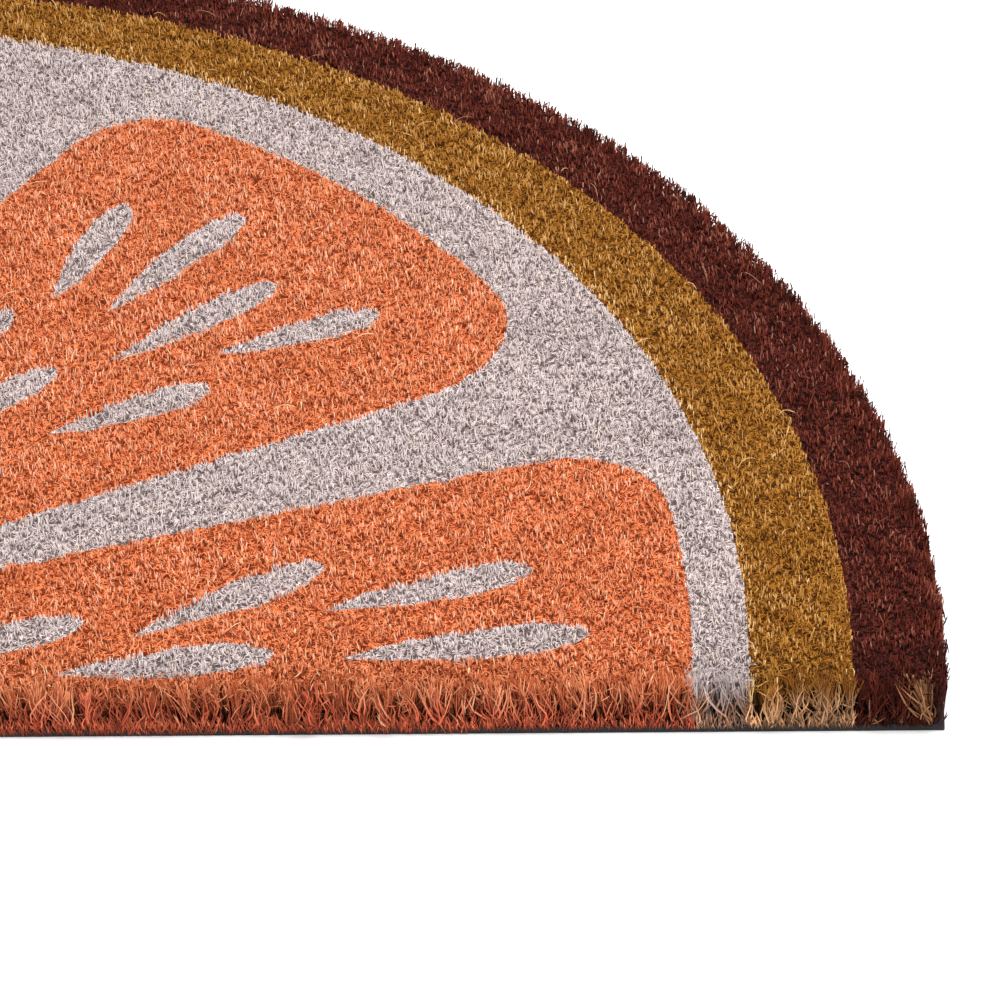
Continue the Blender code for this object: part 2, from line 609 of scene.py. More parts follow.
    def build(self, name: str, material: bpy.types.Material) -> bpy.types.Object:
        """Makes the joined mesh.

        Args:
            name: The piece's name.
            material: Its finish.

        Returns:
            The new object, at the origin.
        """
        points = np.concatenate(self.points).astype(np.float32)
        triangles = np.concatenate(self.triangles).astype(np.int32)
        places = np.concatenate(self.places).astype(np.float32)
        mesh = bpy.data.meshes.new(name)
        mesh.vertices.add(len(points))
        mesh.vertices.foreach_set("co", points.ravel())
        mesh.loops.add(triangles.size)
        mesh.loops.foreach_set("vertex_index", triangles.ravel())
        mesh.polygons.add(len(triangles))
        mesh.polygons.foreach_set("loop_start", np.arange(0, triangles.size, 3, dtype=np.int32))
        bake_map = mesh.uv_layers.new(name=BAKE_MAP)
        bake_map.uv.foreach_set("vector", places[triangles.ravel()].ravel())
        mesh.update(calc_edges=True)
        mesh.materials.append(material)
        made = bpy.data.objects.new(name, mesh)
        bpy.context.scene.collection.objects.link(made)
        log.info("%s: %d triangles", name, len(triangles))
        return made


def linear(hex_colour: str) -> tuple[float, float, float, float]:
    """Turns an sRGB hex value linear.

    Args:
        hex_colour: Six digits after a hash.

    Returns:
        Linear red, green and blue, and an alpha of one.
    """
    parts = [int(hex_colour[at : at + 2], 16) / 255 for at in (1, 3, 5)]
    red, green, blue = (c / 12.92 if c <= 0.04045 else ((c + 0.055) / 1.055) ** 2.4 for c in parts)
    return red, green, blue, 1.0


def feed(node: bpy.types.Node, links: dict) -> None:
    """Gives a node's inputs what feeds them.

    Args:
        node: The node.
        links: Input name or number to a value, a socket, or a node whose first live output is meant.
    """
    for name, value in links.items():
        socket = node.inputs[name]
        if isinstance(value, bpy.types.Node):
            value = next(each for each in value.outputs if each.enabled)
        if isinstance(value, bpy.types.NodeSocket):
            node.id_data.links.new(value, socket)
        else:
            socket.default_value = value


def add_node(tree: bpy.types.NodeTree, kind: str, links: dict, **settings: object) -> bpy.types.Node:
    """Adds a node to a material.

    Args:
        tree: The material's nodes.
        kind: The node's type, without the word that all types start with.
        links: What feeds its inputs, as for feed.
        settings: The node's own options.

    Returns:
        The node.
    """
    node = tree.nodes.new(f"ShaderNode{kind}")
    for name, value in settings.items():
        setattr(node, name, value)
    feed(node, links)
    return node


def span(side: str, ends: Range) -> dict[str, float]:
    """The inputs for the two ends of a Map Range node's From or To side."""
    return {f"{side} Min": ends[0], f"{side} Max": ends[1]}


def new_material(name: str) -> tuple[bpy.types.Material, Callable[..., bpy.types.Node], bpy.types.Node]:
    """A new material, the function that adds a node to it, and its shader."""
    material = bpy.data.materials.new(name)
    material.use_nodes = True
    tree = material.node_tree
    return material, partial(add_node, tree), tree.nodes["Principled BSDF"]


@dataclass(frozen=True)
class Dye:
    """Printed coir: stiff matt fibre, dyed from the tip down and natural at the root.

    The shades run from deep to light across the bake map, and the last one is the odd fibre that
    took little dye. The height in the pile runs up it.
    """

    name: str
    shades: tuple[str, ...]
    root: str
    bed: str
    dyed_from: float = 0.30
    dyed_to: float = 0.68
    # Painted shade at the root, deep in the pile, as a share of the full colour.
    root_painted_shade: float = 0.8
    root_levels: Range = (0.32, 1.72)
    rough: Range = (0.95, 0.68)
    gloss: float = 0.09

    def material(self) -> bpy.types.Material:
        """Coir looks dusty and matt: rough, with little gloss on its cut ends.

        Returns:
            The material.
        """
        # The eye gets dusty, even colour from above, and bare roots where the edge is cut; painted shade
        # darkens every fibre towards its root.
        material, node, shader = new_material(self.name)
        parts = node("SeparateXYZ", {0: node("UVMap", {}, uv_map=BAKE_MAP)})
        across, up = parts.outputs["X"], parts.outputs["Y"]
        shade = node("ValToRGB", {"Fac": across})
        ramp = shade.color_ramp
        while len(ramp.elements) < len(self.shades):
            ramp.elements.new(0.5)
        for number, (element, colour) in enumerate(zip(ramp.elements, self.shades)):
            element.position = number / (len(self.shades) - 1)
            element.color = linear(colour)
        dye_ends = span("From", (self.dyed_from, self.dyed_to))
        dye = node("MapRange", {"Value": up, **dye_ends}, interpolation_type="SMOOTHSTEP")
        lift = node("MapRange", {"Value": across, **span("To", self.root_levels)})
        root = node("Mix", {"Factor": 1.0, 6: linear(self.root), 7: lift}, **MULTIPLIED)
        mix = node("Mix", {"Factor": dye, 6: root, 7: shade}, **MIXED)
        # Painted shade: the colour is multiplied down towards the root, deeper in the pile.
        depth = node("MapRange", {"Value": up, **span("To", (self.root_painted_shade, 1.0))})
        colour = node("Mix", {"Factor": 1.0, 6: mix, 7: depth}, **MULTIPLIED)
        rough = node("MapRange", {"Value": up, **span("To", self.rough)})
        feed(shader, {"Base Color": colour, "Roughness": rough, "Specular IOR Level": self.gloss})
        return material


DYES = {
    Zone.RIND: Dye(
        name="coir_printed_brown",
        shades=("#2C0C06", "#48170D", "#5A2216", "#6A3023", "#7E4434", "#A87B66"),
        root="#D6996C",
        bed="#5A241A",
        dyed_from=-0.08,
        dyed_to=0.18,
    ),
    Zone.RING: Dye(
        name="coir_printed_mustard",
        shades=("#683C14", "#855419", "#9A6728", "#AB7838", "#BC8C50", "#E2BE85"),
        root="#E4AC7E",
        bed="#A06C24",
    ),
    Zone.PITH: Dye(
        name="coir_printed_pale",
        shades=("#A09290", "#B4A6A4", "#BFB1AF", "#C9BCBA", "#D0C3C0", "#DCC3A6"),
        root="#E4AC8C",
        bed="#CDBDBA",
        dyed_from=0.45,
        dyed_to=0.84,
    ),
    Zone.FRUIT: Dye(
        name="coir_printed_orange",
        shades=("#A44F2A", "#C4714B", "#CF8158", "#DA8F68", "#E4A688", "#E2BC8C"),
        root="#DA6A4A",
        bed="#DE8052",
        dyed_from=0.12,
        dyed_to=0.75,
        root_painted_shade=0.85,
    ),
}
DYES[Zone.DROP] = DYES[Zone.PITH]


@dataclass(frozen=True)
class Matted:
    """Matted coir: short strands that cross every way, dusty, with painted shade between them.

    The strands are about as wide as the fibres, as finer ones would not show.
    """

    strand: float = 0.38 * MM
    run: float = 2.4 * MM
    ways: int = 5
    first_way: float = 0.2
    bend_run: float = 2.2 * MM
    bow: float = 0.5 * MM
    strand_edge: Range = (0.15, 0.6)
    seen: Range = (0.35, 1.0)
    # The low level and the gamma paint shade between the strands.
    levels_from: Range = (0.2, 0.9)
    strand_and_painted_shade_levels: Range = (0.16, 1.25)
    painted_shade_gamma: float = 1.6
    relief: float = 0.4 * MM
    relief_strength: float = 0.6
    rough: Range = (1.0, 0.75)
    gloss: float = 0.1

    def material(self) -> bpy.types.Material:
        """Layers of thin cells, each layer turned another way, give strands that cross.

        Returns:
            The material.
        """
        # The eye gets crossed strands, and painted shade between them, darker and deeper in colour, wherever
        # the cut fibres part.
        material, node, shader = new_material("coir_matted")
        place = node("TexCoord", {}).outputs["Object"]
        dye = node("Attribute", {}, attribute_name=BED_DYE)
        bend = node("TexNoise", {"Vector": place, "Scale": 1 / self.bend_run, "Detail": 0.0})
        bows = {0: bend.outputs["Color"], 1: (2 * self.bow,) * 3, 2: place}
        shift = node("VectorMath", bows, operation="MULTIPLY_ADD")
        cell_size = (1 / self.run, 1 / self.strand, 1 / self.run)
        brightest = None
        for number in range(self.ways):
            angle = math.pi * number / self.ways + self.first_way
            way = node("VectorRotate", {"Vector": shift, "Angle": angle}, rotation_type="Z_AXIS")
            thin = node("VectorMath", {0: way, 1: cell_size}, operation="MULTIPLY")
            cells = node("TexVoronoi", {"Vector": thin, "Scale": 1.0}, voronoi_dimensions="2D")
            edge_ends = {**span("From", self.strand_edge), **span("To", (1.0, 0.0))}
            shape = node("MapRange", {"Value": cells.outputs["Distance"], **edge_ends})
            chance = node("SeparateColor", {"Color": cells.outputs["Color"]})
            seen = node("MapRange", {"Value": chance.outputs["Red"], **span("From", self.seen)})
            strand = node("Math", {0: shape, 1: seen}, operation="MULTIPLY")
            if brightest is None:
                brightest = strand
            else:
                brightest = node("Math", {0: brightest, 1: strand}, operation="MAXIMUM")
        # Painted shade: the gaps between strands are darkened and their colour deepened, standing in for
        # shade deep in the pile.
        level_ends = {**span("From", self.levels_from), **span("To", self.strand_and_painted_shade_levels)}
        level = node("MapRange", {"Value": brightest, **level_ends})
        deep = node("Gamma", {"Color": dye.outputs["Color"], "Gamma": self.painted_shade_gamma})
        hue = node("Mix", {"Factor": brightest, 6: deep, 7: dye.outputs["Color"]}, **MIXED)
        colour = node("Mix", {"Factor": 1.0, 6: hue, 7: level}, **MULTIPLIED)
        bump = node("Bump", {"Height": brightest, "Distance": self.relief, "Strength": self.relief_strength})
        rough = node("MapRange", {"Value": brightest, **span("To", self.rough)})
        feed(shader, {"Base Color": colour, "Normal": bump})
        feed(shader, {"Roughness": rough, "Specular IOR Level": self.gloss})
        return material


@dataclass(frozen=True)
class EdgeStyle:
    """How the fibres stand along one edge of the mat: bent ones, and straighter ones behind them."""

    round_edge: bool
    look: Look
    behind_look: Look
    per_mm: float
    behind_per_mm: float
    points: int
    inmost: float
    overhang: float
    shoulder: float
    lean: float
    behind_lean: float
    sideways: float
    curl: float
    tuft: float
    gather: float
    uneven: float
    short_share: float
    shade: float
    flare: float
    stagger: float
    bare_share: float
    dye_lift: float
    lean_scatter: float = 0.05
    least_lean: float = -0.05
    more_lean: float = 0.08
    most_sideways: float = 2.0
    most_curl: float = 2.0
    most_flare: float = 2.2
    wave: float = 0.3
    lean_power: float = 1.4
    sunk: float = 0.4 * MM
    cut_uneven: float = 0.4 * MM
    shortened: float = 8.5 * MM
    shortening_power: float = 1.2
    root_outset: float = 0.1 * MM


@dataclass(frozen=True)
class BehindStyle:
    """How the straighter fibres behind those of an edge stand. It is the same on both edges."""

    insets_mm: Range = (0.3, 3.6)
    lean_share: float = 0.4
    lean_scatter: float = 0.04
    sunk: float = 0.2 * MM
    uneven: float = 0.7 * MM
    low_share: float = 0.3
    lowered: float = 5.5 * MM
    side_share: float = 0.6
    side_scatter: float = 0.13
    # Painted shade: how much of the edge's shade the fibres behind keep, lower for darker gaps.
    painted_shade_share: float = 0.4


BEHIND_LOOK = Look(width=0.40 * MM, widths=(0.6, 1.2), shade_scatter=0.28, dye_scatter=0.10)
FRONT_STYLE = EdgeStyle(
    round_edge=False,
    look=Look(
        width=0.40 * MM, widths=(0.5, 1.4), shade_scatter=0.30, dye_scatter=0.10, undyed_share=0.03
    ),
    behind_look=BEHIND_LOOK,
    per_mm=5.6,
    behind_per_mm=11.5,
    points=5,
    inmost=3.0 * MM,
    overhang=0.8 * MM,
    shoulder=1.8 * MM,
    lean=0.06,
    behind_lean=0.04,
    sideways=0.22,
    curl=0.14,
    tuft=5.0 * MM,
    gather=0.38,
    uneven=0.60 * MM,
    short_share=0.60,
    shade=0.65,
    flare=0.4 * MM,
    stagger=1.9 * MM,
    bare_share=0.10,
    dye_lift=0.20,
)
RIM_STYLE = EdgeStyle(
    round_edge=True,
    look=Look(
        width=0.40 * MM, widths=(0.5, 1.4), shade_scatter=0.22, dye_scatter=0.10, undyed_share=0.03
    ),
    behind_look=BEHIND_LOOK,
    per_mm=4.9,
    behind_per_mm=4.5,
    points=3,
    inmost=2.6 * MM,
    overhang=1.1 * MM,
    shoulder=0.3 * MM,
    lean=0.08,
    behind_lean=0.05,
    sideways=0.10,
    curl=0.03,
    tuft=2.8 * MM,
    gather=0.60,
    uneven=0.60 * MM,
    short_share=0.45,
    # The brown print, set darker than on the top as painted shade on the mat's round side.
    shade=0.26,
    flare=0.35 * MM,
    stagger=0.9 * MM,
    bare_share=0.0,
    dye_lift=0.12,
)


@dataclass(frozen=True)
class Feet:
    """Where the fibres of an edge stand: their tufts, their places, and the ways out and along."""

    tuft: np.ndarray
    from_middle: np.ndarray
    place: np.ndarray
    outward: np.ndarray
    along: np.ndarray


class Edge:
    """The mat's straight edge or its arc from its right-hand end, and what the fibres of each tuft share."""

    tuft_sizes: Range = (0.4, 1.6)
    tufts_to_spare = 1.6
    most_rise = 1.6
    lean_scatter = 0.07
    side_scatter = 0.12
    insets: Range = (-0.35, 0.8)
    shade_scatter = 0.17
    dye_scatter = 0.12
    bare_dye = 0.7

    def __init__(self, outline: Outline, style: EdgeStyle, chance: np.random.Generator) -> None:
        """Draws the tufts.

        Args:
            outline: The mat's outline.
            style: How the fibres stand.
            chance: The seeded random numbers.
        """
        self.outline = outline
        self.style = style
        self.chance = chance
        self.length = outline.radius * (math.pi if style.round_edge else 2.0)
        count = round(self.tufts_to_spare * self.length / style.tuft)
        size = style.tuft * chance.uniform(*self.tuft_sizes, count)
        most = self.most_rise * style.uneven
        self.ends = np.cumsum(size)
        self.middles = self.ends - size / 2
        self.lean = chance.normal(0, self.lean_scatter, count)
        self.side = chance.normal(0, self.side_scatter, count)
        self.inset = style.stagger * chance.uniform(*self.insets, count)
        self.rise = chance.normal(0, style.uneven, count).clip(-most, most)
        self.shade = chance.normal(0, self.shade_scatter, count)
        self.dye = chance.normal(0, self.dye_scatter, count)
        self.dye -= self.bare_dye * (chance.random(count) < style.bare_share)

    def at(self, along: np.ndarray) -> tuple[np.ndarray, np.ndarray]:
        """Points on the edge.

        Args:
            along: Metres along it.

        Returns:
            The points, and unit vectors out of the mat there.
        """
        along = np.clip(along, 0, self.length)
        if self.style.round_edge:
            outward = headings(along / self.outline.radius)
            return outward * self.outline.radius + self.outline.middle, outward
        place = np.column_stack([self.outline.radius - along, np.full(len(along), self.outline.front)])
        return place, np.tile([0.0, -1.0], (len(along), 1))

    def feet(self, per_mm: float, gather: float | None = None) -> Feet:
        """Draws places for fibres along the edge.

        Args:
            per_mm: How many fibres stand on a millimetre.
            gather: How much of its distance from its tuft's middle each keeps, or none to stay there.

        Returns:
            The places.
        """
        along = self.chance.uniform(0, self.length, round(self.length / MM * per_mm))
        tuft = np.searchsorted(self.ends, along)
        from_middle = along - self.middles[tuft]
        if gather is not None:
            along = self.middles[tuft] + from_middle * gather
        place, outward = self.at(along)
        return Feet(tuft, from_middle, place, outward, np.stack([-outward[:, 1], outward[:, 0]], axis=1))


@dataclass(frozen=True)
class CutStyle:
    """How the cut fibres stand all over the mat: in clumps, leaning every way."""

    pitch: float = 2.76 * MM
    shake: float = 0.5
    fibres: int = 5
    spread: float = 2.05 * MM
    ragged: float = 0.3 * MM
    splay: float = 1.5 * MM
    splay_band: float = 4.0 * MM
    splay_power: float = 1.5
    clump_height: float = 0.13 * MM
    swell: float = 0.12 * MM
    fibre_height: float = 0.33 * MM
    edge_band: float = 4.0 * MM
    tilt: float = 0.46
    steepest: float = 0.95
    edge_upright: float = 0.35
    clump_lean: float = 0.09
    sideways_share: float = 0.55
    edge_outward: float = 0.2
    reach_down: float = 2.7 * MM
    edge_reach_down: float = 4.5 * MM
    shortest: float = 2.6 * MM
    longest: float = 4.4 * MM
    root_inset: float = 0.3 * MM
    # Real coir is 0.1 to 0.4 mm thick. It is drawn a little wider, so that few enough fibres close the pile.
    width: float = 0.37 * MM
    widths: Range = (0.65, 1.3)
    shade: float = 0.48
    clump_tint: float = 0.10
    patch_tint: float = 0.06
    fibre_tint: float = 0.20
    # Painted shade on the fibres towards either edge.
    edge_painted_shade: float = 0.12
    undyed_share: float = 0.03
    dye_scatter: float = 0.05
    front_bare: float = 0.3
    bent_share: float = 0.55


@dataclass(frozen=True)
class HangingStyle:
    """How the fibres that the straight cut left over the edge of the sheet lie up the front."""

    look: Look = Look(width=0.38 * MM, widths=(0.6, 1.3), shade_scatter=0.26, dye_scatter=0.05)
    per_mm: float = 9.0
    end_share: float = 0.998
    fruit_share: float = 0.70
    kept_beyond: float = 0.75
    lowest: float = 0.15 * MM
    lowest_beyond: float = 0.75 * MM
    low_power: float = 1.5
    outs_mm: Range = (0.05, 0.35)
    rises_mm: Range = (1.6, 6.0)
    side_scatter: float = 0.36
    tip_in: float = 0.2 * MM
    shade: float = 0.44


@dataclass(frozen=True)
class LyingStyle:
    """How the curved fibres lie over the shoulder and the face of the straight edge."""

    look: Look = Look(
        width=0.30 * MM, widths=(0.6, 1.3), shade_scatter=0.22, dye_scatter=0.12, undyed_share=0.015
    )
    per_mm: float = 2.6
    points: int = 4
    end_share: float = 0.990
    band: float = 6.0 * MM
    below: float = 8.5 * MM
    bend_scatter: float = 1.2
    lengths_mm: Range = (2.6, 5.2)
    sunk_mm: Range = (0.0, 1.0)
    bow: float = 0.5 * MM
    face_slope: float = 0.05
    above_foot: float = 0.3 * MM
    shade: float = 0.38
    dye: float = -0.14


@dataclass(frozen=True)
class FringeStyle:
    """How short cut fibres stick out near the top of the round edge."""

    look: Look = Look(width=0.37 * MM, widths=(0.65, 1.25), shade_scatter=0.22, dye_scatter=0.05)
    per_mm: float = 4.5
    outs_mm: Range = (0.0, 1.5)
    depth: float = 5.0 * MM
    depth_power: float = 1.4
    rise_share: float = 0.5
    outward: Range = (0.1, 0.9)
    side_scatter: float = 0.5
    upward: Range = (0.3, 1.0)
    lengths_mm: Range = (2.4, 4.4)
    shade: float = 0.30


@dataclass(frozen=True)
class StrayStyle:
    """How loose curved fibres stand or lie over the pile."""

    count: int = 420
    points: int = 6
    reaches: Range = (0.02, 0.985)
    lengths_mm: Range = (4, 11)
    bend_scatter: float = 1.3
    lifts_mm: Range = (0.4, 1.4)
    rooted: float = 1.4 * MM
    least_lift: float = 1.2 * MM
    arch: float = 0.75
    undyed_share: float = 0.55
    shades: Range = (0.5, 0.85)
    width: float = 0.27 * MM
    widths: Range = (0.7, 1.2)
    past_edge: float = 0.5 * MM


# Painted shade on the fibres near the straight edge, the most for each zone, where the pile opens and shows
# its gaps.
FRONT_PAINTED_SHADE = {
    Zone.RIND: 0.48,
    Zone.RING: 0.32,
    Zone.PITH: 0.42,
    Zone.DROP: 0.12,
    Zone.FRUIT: 0.16,
}
WAVE_LENGTHS_MM = {"height": 22, "patch": 34, "edge_x": 9, "edge_y": 9, "mottle": 11}


@dataclass(frozen=True)
class PrintStyle:
    """How the print varies over the pile, and how fibres stand next to its borders."""

    border_band: float = 1.4 * MM
    checked_at: float = 0.35
    level_below: float = 0.75 * MM
    levelled: float = 0.9
    drift_beside: float = 0.35
    drift_crossing: float = 0.25
    mottle: float = 0.13
    # The band along the straight edge where fibres take painted shade and shifted dye.
    loose_band: float = 18 * MM
    wide_fade: float = 0.06
    wide_share: float = 0.5
    light_from: float = 0.4
    light_most: float = 0.4
    light_dye: float = 1.3
    inner_dye: float = 0.10
    rind_dye: float = 0.2
    bare_below: float = -0.5
    gold_share: float = 0.0055
    gold_fibres: float = 0.75
    gold_shades: Range = (0.80, 1.0)


@dataclass
class Pile:
    """The coir pile: a field of cut fibres over a matted bed, and the bent fibres along both edges."""

    outline: Outline
    design: SlicePrint
    chance: np.random.Generator
    cut: CutStyle = CutStyle()
    behind: BehindStyle = BehindStyle()
    hanging: HangingStyle = HangingStyle()
    lying: LyingStyle = LyingStyle()
    fringe: FringeStyle = FringeStyle()
    stray: StrayStyle = StrayStyle()
    printed: PrintStyle = PrintStyle()
    shoulder_band: float = 3.6 * MM
    waves: dict[str, Waves] = field(default_factory=dict)

    def __post_init__(self) -> None:
        """Draws the smooth unevenness that the fibres share."""
        self.waves = {name: Waves(self.chance, length * MM) for name, length in WAVE_LENGTHS_MM.items()}

    def shoulder(self, inset: np.ndarray, depth: float) -> np.ndarray:
        """How far the top of the pile falls away towards an edge.

        Args:
            inset: Metres in from the edge.
            depth: The fall at the edge itself.

        Returns:
            The fall, in metres.
        """
        most = 1.3
        return depth * np.clip(1 - inset / self.shoulder_band, 0, most) ** 2

    def cut_strands(self) -> Strands:
        """The cut fibres all over the mat, which lean every way, but less along the straight edge.

        Returns:
            Straight fibres of two points.
        """
        chance, outline, style = self.chance, self.outline, self.cut
        middles = shaken_net(outline, style.pitch, style.shake, chance)
        clumps = len(middles)
        own = np.repeat(np.arange(clumps), style.fibres)
        spread = style.spread * np.sqrt(chance.random(len(own)))
        tips = middles[own] + headings(chance.uniform(0, TURN, len(own))) * spread[:, None]
        kept = outline.inset(tips) > style.ragged * self.waves["edge_x"].at(tips)
        own, tips, count = own[kept], tips[kept], int(kept.sum())
        reach = outline.reach(tips)
        near_rim = np.clip(1 - (outline.radius - reach) / style.splay_band, 0, 1)
        splay = near_rim**style.splay_power * style.splay
        farther = (reach + splay) / np.maximum(reach, MM)
        tips = outline.middle + (tips - outline.middle) * farther[:, None]
        height = chance.normal(0, style.clump_height, clumps)
        height += style.swell * self.waves["height"].at(middles)
        z = outline.crown + height[own] + chance.normal(0, style.fibre_height, count)
        z -= self.shoulder(tips[:, 1] - outline.front, FRONT_STYLE.shoulder)
        z -= self.shoulder(outline.radius - reach, RIM_STYLE.shoulder)
        near_edge = np.clip(1 - outline.inset(tips) / style.edge_band, 0, 1)
        tilt = np.minimum(np.abs(chance.normal(0, style.tilt, count)), style.steepest)
        tilt = tilt * (1 - style.edge_upright * near_edge)
        heading = chance.uniform(0, TURN, count)
        out = np.sin(tilt)
        axis = np.column_stack([out * np.cos(heading), out * np.sin(heading), np.cos(tilt)])
        axis[:, :2] += chance.normal(0, style.clump_lean, (clumps, 2))[own]
        axis[:, 0] *= style.sideways_share
        axis[:, :2] += style.edge_outward * near_edge[:, None] * outline.outward(tips)
        axis /= np.linalg.norm(axis, axis=1)[:, None]
        down = style.reach_down + style.edge_reach_down * near_edge
        length = np.maximum(chance.uniform(style.shortest, style.longest, count), down / axis[:, 2])
        tip = np.column_stack([tips, z])
        root = tip - axis * length[:, None]
        outside = outline.inset(root) < style.root_inset
        outward = outline.outward(root)
        wrong_way = (axis[:, :2] * outward).sum(axis=1)
        axis[outside, :2] -= 2 * (wrong_way[:, None] * outward)[outside]
        root = tip - axis * length[:, None]
        tint = chance.normal(0, style.clump_tint, clumps)
        tint += style.patch_tint * self.waves["patch"].at(middles)
        shade = style.shade + tint[own] + chance.normal(0, style.fibre_tint, count)
        # Painted shade: fibres are darkened towards either edge.
        shade = dyed(shade - style.edge_painted_shade * near_edge)
        shade[chance.random(count) < style.undyed_share] = UNDYED
        width = style.width * chance.uniform(*style.widths, count)
        near_front = np.clip(1 - (tips[:, 1] - outline.front) / style.edge_band, 0, 1)
        shift = chance.normal(0, style.dye_scatter, count)
        shift = shift - style.front_bare * near_front * chance.random(count)
        return Strands(np.stack([root, tip], axis=1), width, shade, shift)

    def edge_strands(self, edge: Edge) -> Strands:
        """The longer bent fibres along an edge, gathered in tufts at the root.

        Args:
            edge: The edge.

        Returns:
            The bent fibres.
        """
        chance, style = self.chance, edge.style
        feet = edge.feet(style.per_mm, style.gather)
        tuft, count = feet.tuft, len(feet.tuft)
        lean = style.lean + edge.lean[tuft] + chance.normal(0, style.lean_scatter, count)
        lean = np.clip(lean, style.least_lean, style.lean + style.more_lean)
        tip_inset = style.inmost * chance.random(count) - style.overhang + edge.inset[tuft]
        foot = self.outline.foot - style.sunk * chance.random(count)
        top = self.outline.crown - self.shoulder(tip_inset, style.shoulder)
        top -= np.abs(chance.normal(0, style.cut_uneven, count))
        top += edge.rise[tuft]
        short = chance.random(count) < style.short_share
        top[short] -= style.shortened * chance.random(short.sum()) ** style.shortening_power
        length = top - foot
        inset = np.maximum(tip_inset + lean * length, 0) - style.root_outset
        flare = np.abs(chance.normal(0, style.flare, count)).clip(0, style.most_flare * style.flare)
        most = style.most_sideways * style.sideways
        side = edge.side[tuft] + chance.normal(0, style.sideways, count).clip(-most, most)
        side += feet.from_middle / length * (1 - style.gather)
        most = style.most_curl * style.curl
        bend = chance.normal(0, style.curl, (4, count)).clip(-most, most)
        base = feet.place - feet.outward * inset[:, None]
        points = []
        for share in np.linspace(0, 1, style.points):
            bow, wave = math.sin(math.pi * share), math.sin(TURN * share)
            out = lean * share**style.lean_power + bend[0] * bow + style.wave * bend[1] * wave
            aside = (side * share + bend[2] * bow + style.wave * bend[3] * wave) * length
            flat = base + feet.outward * (out * length + flare * share**3)[:, None]
            flat += feet.along * aside[:, None]
            points.append(np.column_stack([flat, foot + length * share]))
        shade = style.shade + edge.shade[tuft]
        return style.look.strands(points, shade, edge.dye[tuft] - style.dye_lift, chance)

    def strands_behind(self, edge: Edge) -> Strands:
        """Nearly straight fibres among and behind the bent ones, so that the edge is closed.

        Args:
            edge: The edge.

        Returns:
            Straight fibres of two points.
        """
        chance, style, behind = self.chance, edge.style, self.behind
        feet = edge.feet(style.behind_per_mm, style.gather)
        tuft, count = feet.tuft, len(feet.tuft)
        inset = chance.uniform(*behind.insets_mm, count) * MM + np.maximum(edge.inset[tuft], 0)
        lean = style.behind_lean + behind.lean_share * edge.lean[tuft]
        lean = lean + chance.normal(0, behind.lean_scatter, count)
        foot = np.full(count, self.outline.foot - behind.sunk)
        length = self.outline.crown - foot - np.abs(chance.normal(0, behind.uneven, count))
        length += np.minimum(edge.rise[tuft], 0)
        low = chance.random(count) < behind.low_share
        length[low] -= behind.lowered * chance.random(low.sum())
        length = length - self.shoulder(inset - lean * length, style.shoulder)
        side = behind.side_share * edge.side[tuft] + chance.normal(0, behind.side_scatter, count)
        side += feet.from_middle / length * (1 - style.gather)
        flat = feet.place - feet.outward * inset[:, None]
        far = flat + feet.outward * (lean * length)[:, None] + feet.along * (side * length)[:, None]
        points = [np.column_stack([flat, foot]), np.column_stack([far, foot + length])]
        # Painted shade: the fibres behind take a lower shade than the edge's, so the gaps between tufts look
        # dark.
        shade = behind.painted_shade_share * style.shade + edge.shade[tuft]
        return style.behind_look.strands(points, shade, edge.dye[tuft] - style.dye_lift, chance)

    def hanging_strands(self) -> Strands:
        """Fibres that the straight cut left over the edge of the sheet, which lie up the front.

        Returns:
            Straight fibres of two points, from low in front of the sheet's edge.
        """
        chance, outline, style = self.chance, self.outline, self.hanging
        count = round(2 * outline.radius / MM * style.per_mm)
        x = chance.uniform(-outline.radius, outline.radius, count) * style.end_share
        over_fruit = np.abs(x) < style.fruit_share * outline.radius
        kept = chance.random(count) < np.where(over_fruit, 1.0, style.kept_beyond)
        x, over_fruit, count = x[kept], over_fruit[kept], int(kept.sum())
        lowest = np.where(over_fruit, style.lowest, style.lowest_beyond)
        z = lowest + (outline.foot - lowest) * chance.random(count) ** style.low_power
        y = outline.front - chance.uniform(*style.outs_mm, count) * MM
        rise = chance.uniform(*style.rises_mm, count) * MM
        side = chance.normal(0, style.side_scatter, count) * rise
        points = [np.column_stack([x, y, z]), np.column_stack([x + side, y + style.tip_in, z + rise])]
        return style.look.strands(points, style.shade, 0.0, chance)

    def lying_strands(self) -> Strands:
        """Curved fibres that lie every way over the shoulder and the face of the straight edge.

        Returns:
            Fibres of a few points.
        """
        chance, outline, style = self.chance, self.outline, self.lying
        count = round(2 * outline.radius / MM * style.per_mm)
        x = chance.uniform(-outline.radius, outline.radius, count) * style.end_share
        along = chance.uniform(-style.below, style.band, count)
        head = chance.uniform(0, TURN, count)
        bend = chance.normal(0, style.bend_scatter, count)
        length = chance.uniform(*style.lengths_mm, count) * MM
        sunk = chance.uniform(*style.sunk_mm, count) * MM
        lowest = outline.foot + style.above_foot
        last = style.points - 1
        points = []
        for step in range(style.points):
            over, under = np.maximum(along, 0), np.minimum(along, 0)
            bow = style.bow * math.sin(math.pi * step / last) - sunk
            y = outline.front + over - np.where(under < 0, bow, 0) + style.face_slope * under
            top = outline.crown - self.shoulder(over, FRONT_STYLE.shoulder)
            z = top + np.where(under < 0, 0, bow) + under
            points.append(np.column_stack([x, y, np.maximum(z, lowest)]))
            turn = head + bend * step / last
            x = x + np.cos(turn) * length / last
            along = along + np.sin(turn) * length / last
        return style.look.strands(points, style.shade, style.dye, chance)

